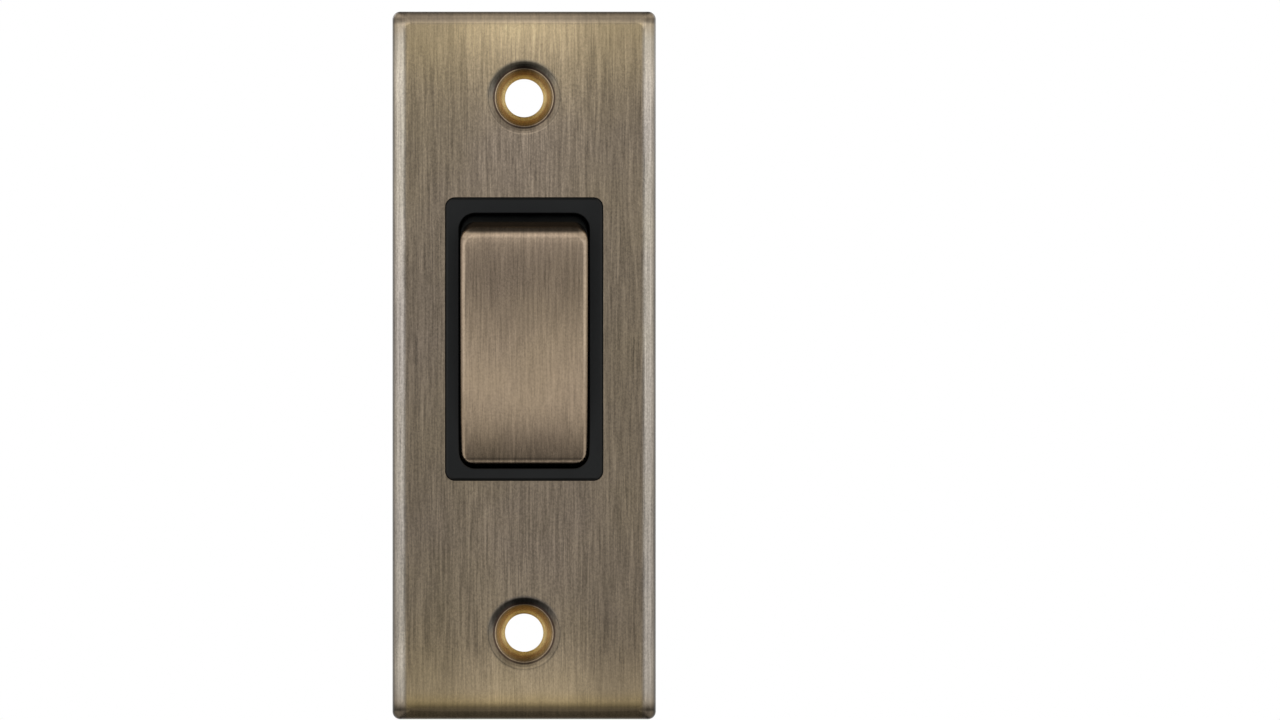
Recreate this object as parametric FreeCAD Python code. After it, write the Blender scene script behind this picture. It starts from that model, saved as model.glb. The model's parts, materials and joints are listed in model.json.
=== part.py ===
import FreeCAD, Part
import math
import os

# Single rocker switch for an architrave or other narrow wall strip, all sizes in mm.
# It stands as fixed on the wall: +Z up, the front faces -Y, the wall plane is Y = 0.
# The origin is the middle of the plate's rim, which rests on the wall.
# The switch module reaches from the plate into the recess behind the wall plane.
# The rocker is modelled in its ON position: the upper end out, the lower end pressed in.

V = FreeCAD.Vector

# Front plate: a shallow pan pressed from brass sheet
plate_w = 32.0
plate_h = 86.0
plate_depth = 4.5
sheet = 1.0
plate_corner_r = 0.95
plate_edge_r = 1.5
fixing_hole_r = 2.32
countersink_r = 3.47
dimple_r = 4.5
dimple_dip = 0.55
dimple_depth = 2.2

# Insert frame: black moulding that fills the opening of the plate
insert_w = 19.0
insert_h = 34.2
insert_z = 3.2
insert_proud = 0.2
insert_corner_r = 1.1
fixing_margin = 15.4
insert_gap = 0.1
lip_side = 1.62
lip_top = 1.86
lip_bottom = 1.4
lip_t = 1.0
lip_cut = 0.1
well_corner_r = 1.9
well_draft = 0.35
cavity_corner_r = 1.0

# Module body behind the plate
frame_side_t = 1.5
frame_end_t = 4.0
frame_depth = 3.1
body_corner_r = 1.2
body_cut = 0.3
ear_t = 1.8
ear_r = 2.4
pillar_h = 2.0
pillar_r = 1.8
pillar_gap = 0.3
tap_skin = 0.1
cover_t = 1.3
window_gap_x = 0.5
window_gap_z = 1.2
base_rear_t = 4.7
base_step = 2.6
step_gap = 0.6
peg_r = 0.9
peg_h = 1.5
peg_inset = 2.2
peg_drop = 5.0
peg_fit = 0.05
end_wall = 1.55
chamber_w = 6.0
chamber_gap = 1.7
channel_fit = 0.1

# Rocker: metal cap on a moulded dolly that turns on two trunnions
rocker_tilt = 8.0
rocker_gap = 0.2
rocker_end_gap = 0.3
rocker_corner_r = 1.8
rocker_edge_r = 0.6
rocker_rise = 1.55
crown_r = 60.0
pivot_depth = 5.6
cap_t = 0.4
cap_skirt = 1.6
cap_fit = 0.02
dolly_side_gap = 0.05
dolly_wall = 1.25
dolly_roof = 0.4
dolly_step = 0.23
dolly_foot = 2.2
lug_wall = 0.8
rib_t = 0.9
rib_u = 8.25
rib_foot = 3.4
rib_rise = 0.8
trunnion_r = 1.5
trunnion_fit = 0.05
trunnion_x = 1.65
trunnion_end_gap = 0.15
post_gap = 0.5
cavity_clear = 0.52

# Spring plunger in the dolly
tube_r = 3.1
tube_foot = 2.2
plunger_r = 1.94
plunger_fit = 0.06
plunger_top = 0.6
plunger_step = 3.4
plunger_nose_r = 1.3
plunger_gap = 0.1
spring_wire_r = 0.15
spring_r = 1.1
spring_fit = 0.1
spring_end_gap = 0.02
spring_pocket = 2.6
spring_turns = 5
bore_top = 1.0
spigot_h = 1.0

# Rocking contact, knife bracket and fixed contacts
knife_depth = 8.0
knife_bite = 0.25
knife_tip_h = 1.0
knife_tip_w = 1.04
knife_foot_w = 1.8
blade_t = 0.8
blade_groove = 0.28
blade_half = 7.5
blade_w = 4.0
blade_waist = 0.4
blade_cut = 0.6
pad_edge = 0.5
groove_half_angle = 55.0
contact_tilt = 9.0
contact_gap = 0.1
tip_z = 6.2
tip_r = 1.1
tip_h = 0.7
fixed_tip_h = 0.6
strip_t = 0.8
strip_w = 2.4
strip_edge = 0.3
strip_tongue = 1.5

# Terminals
block_w = 6.0
block_h = 6.8
block_x = 5.7
block_cut = 0.5
block_fit = 0.05
block_gap = 0.1
wire_r = 1.9
wire_depth = 5.4
wire_inset = 2.9
mouth_cut = 0.3
entry_gap = 0.25
funnel_cut = 0.7
clamp_shift = 0.4
clamp_screw_r = 1.72
clamp_head_r = 2.45
clamp_head_h = 1.8
clamp_travel = 2.4
clamp_slot = 0.9
screw_cut = 0.3
tip_gap = 0.05
seat_gap = 0.1
thread_fit = 0.05
head_fit = 0.15

# Screws that hold the module together and to the plate
screw_r = 1.0
screw_fit = 0.03
screw_clear = 0.2
screw_bite = 4.0
pilot_depth = 4.5
shoulder_depth = 5.0
housing_edge = 0.35
housing_side = 3.6
housing_head_r = 1.5
housing_head_h = 1.2
housing_slot = 0.6
module_head_r = 1.9
module_head_h = 1.3
module_slot = 0.7
module_tip_gap = 0.3

# Earth terminal on the back of the plate
earth_x = 7.5
earth_z = -25.2
earth_w = 5.4
earth_h = 6.0
earth_rear = 5.3
earth_wire_r = 1.6
earth_wire_y = 1.9
earth_wire_depth = 4.6
earth_screw_r = 1.45
earth_head_r = 2.2
earth_head_h = 1.6
earth_slot = 0.8
earth_travel = 2.0

# Planes across the depth of the switch, from the front to the back
plate_front = -plate_depth
sheet_back = plate_front + sheet
bezel_front = plate_front - insert_proud
pivot_y = bezel_front + pivot_depth
fixing_pitch = insert_h + 2 * fixing_margin
cover_front = pivot_y + frame_depth
base_front = cover_front + cover_t
knife_y = pivot_y + knife_depth
blade_rear = knife_y + knife_bite
blade_front = blade_rear - blade_t
nose_reach = knife_depth - (knife_y - blade_front) - plunger_nose_r - plunger_gap
tip_reach = blade_rear - knife_y + tip_h
closed_sin = math.sin(math.radians(contact_tilt))
closed_cos = math.cos(math.radians(contact_tilt))
fixed_tip_front = knife_y + tip_reach * closed_cos + tip_z * closed_sin + contact_gap
fixed_tip_z = tip_z * closed_cos - tip_reach * closed_sin
strip_front = fixed_tip_front + fixed_tip_h
floor_y = strip_front + strip_t
base_rear = floor_y + base_rear_t

# Outline of the well and of the rocker in it
well_w = insert_w - 2 * lip_side
well_top = insert_z + insert_h / 2 - lip_top
well_bottom = insert_z - insert_h / 2 + lip_bottom
well_h = well_top - well_bottom
pivot_z = (well_top + well_bottom) / 2
rocker_w = well_w - 2 * rocker_gap
end_r = math.hypot(well_top - pivot_z - rocker_end_gap, pivot_depth)
edge_f = pivot_depth + rocker_rise
edge_u = math.sqrt(end_r ** 2 - edge_f ** 2)
crown_f = edge_f - math.sqrt(crown_r ** 2 - edge_u ** 2)
cavity_x = well_w / 2 + well_draft / 2
cavity_u = end_r + cavity_clear
trunnion_end = rocker_w / 2 + trunnion_x
body_w = 2 * (trunnion_end + trunnion_end_gap + frame_side_t)
body_h = 2 * (cavity_u + frame_end_t)

# Ends of the module and positions of the terminals and screws
body_top = pivot_z + body_h / 2
body_bottom = pivot_z - body_h / 2
housing_inset = housing_head_r + head_fit + housing_edge
housing_low_x = body_w / 2 - housing_side
pillar_reach = body_h / 2 + pillar_gap + pillar_r
block_y = base_front + block_gap
wire_y = block_y + wire_inset
clamp_z = block_h / 2 - clamp_shift

# Each terminal: name, x, level of its wire entry face, way that its wire leaves
terminals = [
    ("l2", -block_x, body_top - end_wall - block_fit, 1),
    ("com", block_x, body_top - end_wall - block_fit, 1),
    ("l1", 0.0, body_bottom + end_wall + block_fit, -1),
]
housing_screws = [
    ("top", 0.0, body_top - housing_inset),
    ("left", -housing_low_x, body_bottom + housing_inset),
    ("right", housing_low_x, body_bottom + housing_inset),
]
pegs = [(side * (body_w / 2 - peg_inset), pivot_z - peg_drop) for side in (-1, 1)]
module_screws = [
    ("upper", pivot_z + pillar_reach),
    ("lower", pivot_z - pillar_reach),
]


def box(x0, x1, y0, y1, z0, z1):
    """Block between two limits on each axis, given in any order."""
    low = V(min(x0, x1), min(y0, y1), min(z0, z1))
    return Part.makeBox(abs(x1 - x0), abs(y1 - y0), abs(z1 - z0), low)


def rod(x, z, r, y0, y1):
    """Round bar along Y from y0 back to y1."""
    return Part.makeCylinder(r, y1 - y0, V(x, y0, z), V(0, 1, 0))


def outline(w, h, r, y, z):
    """Rounded rectangle in a plane across Y, centred on X = 0 and the level z."""
    cx, cz = w / 2 - r, h / 2 - r
    s = r * math.sqrt(0.5)
    edges = []
    for a, b in ((1, 1), (-1, 1), (-1, -1), (1, -1)):
        near = V(a * w / 2, y, z + b * cz)
        mid = V(a * (cx + s), y, z + b * (cz + s))
        far = V(a * cx, y, z + b * h / 2)
        if a * b < 0:
            near, far = far, near
        edges.append(Part.Arc(near, mid, far).toShape())
    ring = []
    for n, arc in enumerate(edges):
        ring.append(arc)
        after = edges[(n + 1) % 4]
        ring.append(Part.makeLine(arc.Vertexes[-1].Point, after.Vertexes[0].Point))
    return Part.Wire(ring)


def slab(w, h, r, y0, y1, z):
    """Plate with rounded corners between two planes across Y."""
    return Part.Face(outline(w, h, r, y0, z)).extrude(V(0, y1 - y0, 0))


def rounded_pan(w, h, corner_r, edge_r, face_y, rim_y):
    """Block with rounded corners whose front edge rolls over with edge_r."""
    wires = []
    for degrees in range(0, 91, 15):
        a = math.radians(degrees)
        inset = edge_r * (1 - math.cos(a))
        y = face_y + edge_r * (1 - math.sin(a))
        wires.append(outline(w - 2 * inset, h - 2 * inset, corner_r, y, 0))
    roll = Part.makeLoft(wires, True, False)
    return roll.fuse(slab(w, h, corner_r, face_y + edge_r, rim_y, 0))


def rim_edges(shape, y):
    """Edges that lie in one plane across Y."""
    return [e for e in shape.Edges if all(abs(v.Y - y) < 1e-6 for v in e.Vertexes)]


def turned(points, x, z, y0):
    """Solid of revolution about an axis along Y from points (radius, depth behind y0)."""
    ring = Part.makePolygon([V(x + r, y0 + d, z) for r, d in points + points[:1]])
    return Part.Face(ring).revolve(V(x, 0, z), V(0, 1, 0), 360)


def dome(r, h, x, z, y, way):
    """Contact tip: a short button with a domed face, standing on the plane y."""
    rim = h * 0.4
    ball = (r ** 2 + (h - rim) ** 2) / (2 * (h - rim))
    a = math.asin(r / ball) / 2
    top = h - ball
    bend = V(x + ball * math.sin(a), y + way * (top + ball * math.cos(a)), z)
    foot, shoulder = V(x + r, y, z), V(x + r, y + way * rim, z)
    crest, heart = V(x, y + way * h, z), V(x, y, z)
    ring = Part.Wire([
        Part.makeLine(heart, foot),
        Part.makeLine(foot, shoulder),
        Part.Arc(shoulder, bend, crest).toShape(),
        Part.makeLine(crest, heart),
    ])
    return Part.Face(ring).revolve(V(x, 0, z), V(0, 1, 0), 360)


def slotted_head(x, z, r, h, y0, slot):
    """Cheese head from y0 back, with a driver slot."""
    head = rod(x, z, r, y0, y0 + h)
    x0, x1 = x - slot / 2, x + slot / 2
    return head.cut(box(x0, x1, y0 + h * 0.5, y0 + h + 1, z - r - 1, z + r + 1))


def tilted(shape, y, z, degrees):
    """Copy of a shape turned about an axis along X."""
    moved = shape.copy()
    moved.rotate(V(0, y, z), V(1, 0, 0), degrees)
    return moved


def crossing(r_end, r_face):
    """Height f and reach u where the end circle meets a circle round the crown's centre."""
    f = (r_end ** 2 - r_face ** 2 + crown_f ** 2) / (2 * crown_f)
    return f, math.sqrt(r_end ** 2 - f ** 2)


def rk(x, f, u):
    """Point of the level rocker: f forward of the pivot, u above it."""
    return V(x, pivot_y - f, pivot_z + u)


def end_arc(x, r_end, f0, f1, side):
    """Arc of the end circle between two heights, on the upper (1) or lower (-1) end."""
    a0, a1 = sorted((math.asin(f0 / r_end), math.asin(f1 / r_end)))
    if side < 0:
        a0, a1 = math.pi - a1, math.pi - a0
    circle = Part.Circle(rk(x, 0, 0), V(1, 0, 0), r_end)
    return Part.ArcOfCircle(circle, a0, a1).toShape()


def crown_arc(x, r_end, r_face):
    """Arc of the crown from one end circle to the other."""
    half = math.asin(crossing(r_end, r_face)[1] / r_face)
    circle = Part.Circle(rk(x, crown_f, 0), V(1, 0, 0), r_face)
    return Part.ArcOfCircle(circle, math.pi / 2 - half, math.pi / 2 + half).toShape()


def banana(width, inset, depth):
    """Slab that follows the crowned face, from inset to depth below it."""
    x, r_end = -width / 2, end_r - inset
    f0 = crossing(r_end, crown_r - inset)[0]
    f1 = crossing(r_end, crown_r - depth)[0]
    ring = Part.Wire([
        crown_arc(x, r_end, crown_r - inset),
        end_arc(x, r_end, f0, f1, 1),
        crown_arc(x, r_end, crown_r - depth),
        end_arc(x, r_end, f1, f0, -1),
    ])
    return Part.Face(ring).extrude(V(width, 0, 0))


def core(inset, depth):
    """Slab under the cap with blunted corners, so that the cap keeps its wall there."""
    bar = banana(rocker_w - 2 * inset, inset, depth)
    return bar.makeChamfer((rocker_corner_r - cap_t) * 0.55, end_edges(bar, end_r - inset))


def end_edges(bar, r_end):
    """The four edges where the ends of a rocker slab meet its sides."""
    arcs = [e for e in bar.Edges if isinstance(e.Curve, Part.Circle)]
    return [e for e in arcs if abs(e.Curve.Radius - r_end) < 1e-4]


def front_plate():
    plate = rounded_pan(plate_w, plate_h, plate_corner_r, plate_edge_r, plate_front, 0)
    inner_w, inner_h = plate_w - 2 * sheet, plate_h - 2 * sheet
    inner = slab(inner_w, inner_h, plate_corner_r / 2, sheet_back, 1, 0)
    plate = plate.cut(inner.makeChamfer(plate_edge_r / 4, rim_edges(inner, sheet_back)))
    window_w, window_h = insert_w + 2 * insert_gap, insert_h + 2 * insert_gap
    window = slab(window_w, window_h, insert_corner_r + insert_gap, plate_front - 1, 1, insert_z)
    plate = plate.cut(window)
    for z in (-fixing_pitch / 2, fixing_pitch / 2):
        plate = plate.fuse(dimple_back(z)).cut(dimple_front(z))
    return plate.removeSplitter()


def dimple_back(z):
    """Metal pressed back round a fixing hole."""
    slope = dimple_r - countersink_r
    flat = fixing_hole_r + 0.75
    points = [(0, sheet / 2), (dimple_r + 0.4, sheet / 2), (dimple_r + 0.4, sheet)]
    points += [(dimple_r, sheet + 0.06), (countersink_r + slope * 0.6, sheet + dimple_dip)]
    points += [(flat + 0.25, dimple_depth - 0.1), (flat, dimple_depth), (0, dimple_depth)]
    return turned(points, 0, z, plate_front)


def dimple_front(z):
    """Dished rim, countersink and hole cut from the front."""
    lip = dimple_r - countersink_r
    seat = dimple_dip + countersink_r - fixing_hole_r
    bowl = [(0, 0), (0.18, 0.04), (0.4, 0.2), (0.65, 0.5), (0.85, 0.8), (1, 1)]
    points = [(0, -1), (dimple_r, -1)]
    points += [(dimple_r - lip * across, dimple_dip * deep) for across, deep in bowl]
    points += [(fixing_hole_r, seat), (fixing_hole_r, 9), (0, 9)]
    return turned(points, 0, z, plate_front)


def fixing_pillar(z):
    """Tapped pillar brazed to the back of the plate."""
    pillar = rod(0, z, pillar_r, sheet_back, sheet_back + pillar_h)
    tap = rod(0, z, screw_r + screw_fit, sheet_back + tap_skin, sheet_back + pillar_h + 1)
    return pillar.cut(tap)


def insert_frame():
    bezel = slab(insert_w, insert_h, insert_corner_r, bezel_front, sheet_back + 1, insert_z)
    bezel = bezel.makeChamfer(0.25, rim_edges(bezel, bezel_front))
    frame = bezel.fuse(slab(body_w, body_h, body_corner_r, sheet_back, cover_front, pivot_z))
    ear_front = sheet_back + pillar_h
    for side, (name, z) in zip((1, -1), module_screws):
        root = pivot_z + side * (body_h / 2 - 1)
        frame = frame.fuse(box(-ear_r, ear_r, ear_front, ear_front + ear_t, root, z))
        frame = frame.fuse(rod(0, z, ear_r, ear_front, ear_front + ear_t))
    for name, z in module_screws:
        frame = frame.cut(rod(0, z, screw_r + screw_clear, ear_front - 1, ear_front + ear_t + 1))
    frame = frame.cut(well())
    for side in (-1, 1):
        frame = frame.cut(trunnion_slot(side))
    for name, x, z in housing_screws:
        pilot = rod(x, z, screw_r + screw_fit, cover_front - pilot_depth, cover_front + 1)
        frame = frame.cut(pilot)
    return frame.removeSplitter()


def well():
    """Room for the rocker: a chamfered lip that widens inwards, and the open cavity."""
    lip_back = bezel_front + lip_t
    wide_w, wide_h = well_w + 2 * lip_cut, well_h + 2 * lip_cut
    mouth = outline(wide_w, wide_h, well_corner_r + lip_cut, bezel_front - 0.001, pivot_z)
    throat = outline(well_w, well_h, well_corner_r, bezel_front + lip_cut, pivot_z)
    wide_w, wide_h = well_w + well_draft, well_h + 2 * well_draft
    wide = outline(wide_w, wide_h, well_corner_r, lip_back, pivot_z)
    room = Part.makeLoft([mouth, throat], True, True)
    room = room.fuse(Part.makeLoft([throat, wide], True, True))
    room_w, room_h = 2 * cavity_x, 2 * cavity_u
    cavity = slab(room_w, room_h, cavity_corner_r, lip_back, cover_front + 1, pivot_z)
    return room.fuse(cavity)


def trunnion_slot(side):
    """Slot in the side wall that takes a trunnion from behind, open towards the cover."""
    r = trunnion_r + trunnion_fit
    reach = side * (trunnion_end + trunnion_end_gap)
    seat = Part.makeCylinder(r, abs(reach), V(min(0, reach), pivot_y, pivot_z), V(1, 0, 0))
    return seat.fuse(box(0, reach, pivot_y, cover_front + 1, pivot_z - r, pivot_z + r))


def mechanism_cover():
    cover = slab(body_w, body_h, body_corner_r, cover_front, base_front, pivot_z)
    x0, x1 = rocker_w / 2 + post_gap, trunnion_end + trunnion_end_gap - trunnion_fit
    for side in (-1, 1):
        top = pivot_y + trunnion_r + trunnion_fit
        half = trunnion_r - trunnion_fit
        low, high = pivot_z - half, pivot_z + half
        cover = cover.fuse(box(side * x0, side * x1, top, cover_front + 0.5, low, high))
    window_w, window_h = 2 * (plunger_r + window_gap_x), 2 * (plunger_r + window_gap_z)
    cover = cover.cut(slab(window_w, window_h, 0.8, cover_front - 1, base_front + 1, pivot_z))
    for name, x, z in housing_screws:
        cover = cover.cut(rod(x, z, screw_r + screw_clear, cover_front - 1, base_front + 1))
    for x, z in pegs:
        cover = cover.fuse(rod(x, z, peg_r, cover_front + 0.5, base_front + peg_h))
    return cover.removeSplitter()


def switch_base():
    base = slab(body_w, body_h, body_corner_r, base_front, base_rear, pivot_z)
    base = base.makeChamfer(body_cut, rim_edges(base, base_rear)).cut(rear_step())
    front, w = base_front - 1, chamber_w / 2
    half = blade_half + chamber_gap
    base = base.cut(box(-w, w, front, floor_y, pivot_z - half, pivot_z + half))
    for x0, x1, z0, z1 in strip_rooms():
        base = base.cut(box(x0, x1, front, floor_y, z0, z1))
    for name, x, z, way in terminals:
        base = base.cut(terminal_room(x, z, way))
    shoulder = base_front + shoulder_depth
    for name, x, z in housing_screws:
        base = base.cut(rod(x, z, screw_r + screw_clear, front, shoulder + 1))
        base = base.cut(rod(x, z, housing_head_r + head_fit, shoulder, base_rear + 1))
    for x, z in pegs:
        base = base.cut(rod(x, z, peg_r + peg_fit, front, base_front + peg_h + head_fit))
    return base.removeSplitter()


def rear_step():
    """Lower middle of the base's back, between the towers of the terminals."""
    top = terminals[0][2] - block_h - step_gap
    low = terminals[2][2] + block_h + step_gap
    y, run, half = base_rear - base_step, base_step * 0.35, body_w / 2 + 1
    pts = [(top, y), (top + run, base_rear), (top + run, base_rear + 1)]
    pts += [(low - run, base_rear + 1), (low - run, base_rear), (low, y)]
    ring = [V(-half, depth, z) for z, depth in pts]
    return Part.Face(Part.makePolygon(ring + ring[:1])).extrude(V(2 * half, 0, 0))


def strip_rooms():
    """Channels that lead the contact strips to their terminals: x and z limits."""
    half = strip_w / 2 + channel_fit
    inner = terminals[0][2] - block_h - block_fit
    upper = pivot_z + fixed_tip_z
    lower = terminals[2][2] + block_h + block_fit
    return [
        (0, block_x + half, pivot_z - half, pivot_z + half),
        (block_x - half, block_x + half, pivot_z - half, inner + 1),
        (-block_x - half, 0, upper - half, upper + half),
        (-block_x - half, -block_x + half, upper - half, inner + 1),
        (-half, half, lower - 1, pivot_z - blade_half),
    ]


def terminal_room(x, z, way):
    """Pocket for a terminal block with its wire entry and the hole for a driver."""
    half, entry_r, out = block_w / 2 + block_fit, wire_r + entry_gap, V(0, 0, way)
    inner, outside = z - way * (block_h + block_fit), z + way * (end_wall + block_fit)
    room = box(x - half, x + half, base_front - 1, floor_y, z + way * block_fit, inner)
    entry = Part.makeCylinder(entry_r, end_wall + 2, V(x, wire_y, z - way), out)
    throat = V(x, wire_y, outside - way * funnel_cut)
    funnel = Part.makeCone(entry_r, entry_r + funnel_cut, funnel_cut, throat, out)
    access = rod(x, z - way * clamp_z, clamp_head_r + head_fit, floor_y - 1, base_rear + 1)
    return room.fuse([entry, funnel, access])


def rocker_cap():
    """Thin metal cap: crowned face with skirts on all four sides."""
    shell = banana(rocker_w, 0, cap_skirt)
    shell = shell.makeFillet(rocker_corner_r, end_edges(shell, end_r))
    face = [f for f in shell.Faces if isinstance(f.Surface, Part.Cylinder)]
    face = [f for f in face if abs(f.Surface.Radius - crown_r) < 1e-4][0]
    shell = shell.makeFillet(rocker_edge_r, face.Edges)
    return tilted(shell.cut(core(cap_t, cap_skirt + 2)), pivot_y, pivot_z, rocker_tilt)


def rocker_dolly():
    roof, back = crown_f + crown_r - cap_skirt, V(0, 1, 0)
    dolly = core(cap_t + cap_fit, cap_skirt + dolly_roof).fuse(dolly_skirt())
    tube = Part.makeCylinder(tube_r, roof + tube_foot, rk(0, roof, 0), back)
    room = dolly_room().cut(tube)
    half, root = rocker_w / 2 - dolly_side_gap, dolly_wall / 2
    for side in (-1, 1):
        room = room.cut(dolly_ribs(side))
        low = min(side * (half - root), side * trunnion_end)
        length = trunnion_end - half + root
        trunnion = Part.makeCylinder(trunnion_r, length, rk(low, 0, 0), V(1, 0, 0))
        dolly = dolly.fuse(trunnion)
    seat = roof - bore_top
    bore = Part.makeCylinder(plunger_r + plunger_fit, seat + 9, rk(0, seat, 0), back)
    peg = spring_r - spring_wire_r - spring_fit
    spigot = Part.makeCylinder(peg, bore_top + spigot_h, rk(0, roof, 0), back)
    dolly = dolly.cut(room).cut(bore).fuse(spigot)
    return tilted(dolly.removeSplitter(), pivot_y, pivot_z, rocker_tilt)


def dolly_skirt():
    """Lower part of the dolly: end walls, side walls and the two lugs for the trunnions."""
    width, low = rocker_w - 2 * dolly_side_gap, dolly_foot
    r_end, r_face = end_r - dolly_step, crown_r - cap_skirt - cap_fit
    f0 = crossing(r_end, r_face)[0]
    foot = math.sqrt(r_end ** 2 - low ** 2)
    lug = trunnion_r + lug_wall
    x = -width / 2
    bottom = [(low, foot), (low, lug * 2.4), (-lug, lug)]
    bottom += [(f, -u) for f, u in reversed(bottom)]
    edges = [crown_arc(x, r_end, r_face), end_arc(x, r_end, f0, low, 1)]
    for (fa, ua), (fb, ub) in zip(bottom, bottom[1:]):
        edges.append(Part.makeLine(rk(x, fa, ua), rk(x, fb, ub)))
    edges.append(end_arc(x, r_end, low, f0, -1))
    bar = Part.Face(Part.Wire(edges)).extrude(V(width, 0, 0))
    return bar.makeFillet(rocker_corner_r - 2 * dolly_side_gap, end_edges(bar, r_end))


def dolly_room():
    """Hollow of the dolly, open at the back."""
    width = rocker_w - 2 * (dolly_side_gap + dolly_wall)
    r_end, r_face = end_r - dolly_step - dolly_wall, crown_r - cap_skirt - dolly_roof
    f0, x, low = crossing(r_end, r_face)[0], -width / 2, -pivot_depth
    edges = [crown_arc(x, r_end, r_face), end_arc(x, r_end, f0, low, 1)]
    foot = math.sqrt(r_end ** 2 - low ** 2)
    edges.append(Part.makeLine(rk(x, low, foot), rk(x, low, -foot)))
    edges.append(end_arc(x, r_end, low, f0, -1))
    return Part.Face(Part.Wire(edges)).extrude(V(width, 0, 0))


def dolly_ribs(side):
    """Stiffening left standing in the hollow: one rib across, one along from the tube."""
    half, foot = rib_t / 2, pivot_y - rib_foot
    z0, z1 = pivot_z + side * (rib_u - half), pivot_z + side * (rib_u + half)
    across = box(-rocker_w / 2, rocker_w / 2, pivot_y - crown_r, foot, z0, z1)
    z0, z1 = pivot_z, pivot_z + side * end_r
    along = box(-half, half, pivot_y - crown_r, foot - rib_rise, z0, z1)
    return across.fuse(along)


def plunger():
    """Hollow slider with a round nose that runs along the rocking contact."""
    top, step = plunger_top, -plunger_step
    barrel = Part.makeCylinder(plunger_r, top - step, rk(0, top, 0), V(0, 1, 0))
    neck = Part.makeCylinder(plunger_nose_r, nose_reach + step, rk(0, step, 0), V(0, 1, 0))
    nose = Part.makeSphere(plunger_nose_r, rk(0, -nose_reach, 0))
    pocket_r = spring_r + spring_wire_r + spring_fit
    bore = Part.makeCylinder(pocket_r, spring_pocket, rk(0, top, 0), V(0, 1, 0))
    slider = barrel.fuse([neck, nose]).cut(bore).removeSplitter()
    return tilted(slider, pivot_y, pivot_z, rocker_tilt)


def plunger_spring():
    """Compression spring between the dolly's tube and the plunger."""
    seat = crown_f + crown_r - cap_skirt - bore_top
    foot = plunger_top - spring_pocket
    height = seat - foot - 2 * (spring_wire_r + spring_end_gap)
    coil = Part.makeHelix(height / spring_turns, height, spring_r)
    turn = [math.radians(60 * n) for n in range(7)]
    ring = [V(spring_r + spring_wire_r * math.cos(a), 0, spring_wire_r * math.sin(a)) for a in turn]
    ring = Part.makePolygon(ring)
    wire = Part.Wire(coil).makePipeShell([ring], True, True)
    wire.rotate(V(0, 0, 0), V(1, 0, 0), -90)
    wire.translate(rk(0, seat - spring_end_gap - spring_wire_r, 0))
    return tilted(wire, pivot_y, pivot_z, rocker_tilt)


def moving_contact():
    """Rocking blade with a wide pad under each tip and a groove on the knife edge."""
    half, waist = blade_w / 2, blade_w / 2 - blade_waist
    long, pad = blade_half, tip_z - tip_r - pad_edge
    side = [(half, long - blade_cut), (half - blade_cut, long)]
    pts = [(waist, pad - blade_cut), (half, pad)] + side
    pts += [(-x, z) for x, z in reversed(pts)]
    pts += [(-x, -z) for x, z in pts]
    ring = [V(x, blade_front, pivot_z + z) for x, z in pts]
    blade = Part.Face(Part.makePolygon(ring + ring[:1])).extrude(V(0, blade_t, 0))
    deep = blade_rear - blade_groove
    flare = blade_t * math.tan(math.radians(groove_half_angle))
    wedge = [V(-blade_w, deep, pivot_z), V(-blade_w, deep + blade_t, pivot_z + flare)]
    wedge.append(V(-blade_w, deep + blade_t, pivot_z - flare))
    groove = Part.Face(Part.makePolygon(wedge + wedge[:1])).extrude(V(2 * blade_w, 0, 0))
    return tilted(blade.cut(groove), knife_y, pivot_z, -contact_tilt)


def moving_tip(side):
    tip = dome(tip_r, tip_h, 0, pivot_z + side * tip_z, blade_rear, 1)
    return tilted(tip, knife_y, pivot_z, -contact_tilt)


def strip(x0, x1, z0, z1):
    return box(x0, x1, strip_front, floor_y, z0, z1)


def common_bracket():
    """Strip from the common terminal with the knife edge that carries the blade."""
    half, top = strip_w / 2, terminals[1][2] - block_h + strip_tongue
    bar = strip(-blade_w / 2, block_x + half, pivot_z - half, pivot_z + half)
    bar = bar.fuse(strip(block_x - half, block_x + half, pivot_z - half, top))
    x = -blade_w / 2
    pts = [(0, knife_y), (knife_tip_w / 2, knife_y + knife_tip_h)]
    pts.append((knife_foot_w / 2, strip_front + strip_t / 2))
    ring = [V(x, y, pivot_z + z) for z, y in pts]
    ring += [V(x, y, pivot_z - z) for z, y in reversed(pts[1:])]
    knife = Part.Face(Part.makePolygon(ring + ring[:1])).extrude(V(blade_w, 0, 0))
    return bar.fuse(knife).removeSplitter()


def fixed_contact_l2():
    """Strip from the upper fixed tip across and up to its terminal."""
    half, z = strip_w / 2, pivot_z + fixed_tip_z
    bar = strip(-block_x - half, tip_r + strip_edge, z - half, z + half)
    top = terminals[0][2] - block_h + strip_tongue
    return bar.fuse(strip(-block_x - half, -block_x + half, z - half, top)).removeSplitter()


def fixed_contact_l1():
    """Straight strip from the lower fixed tip down to its terminal."""
    half, z = strip_w / 2, pivot_z - fixed_tip_z
    return strip(-half, half, terminals[2][2] + block_h - strip_tongue, z + half)


def fixed_tip(side):
    return dome(tip_r, fixed_tip_h, 0, pivot_z + side * fixed_tip_z, strip_front, -1)


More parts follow.
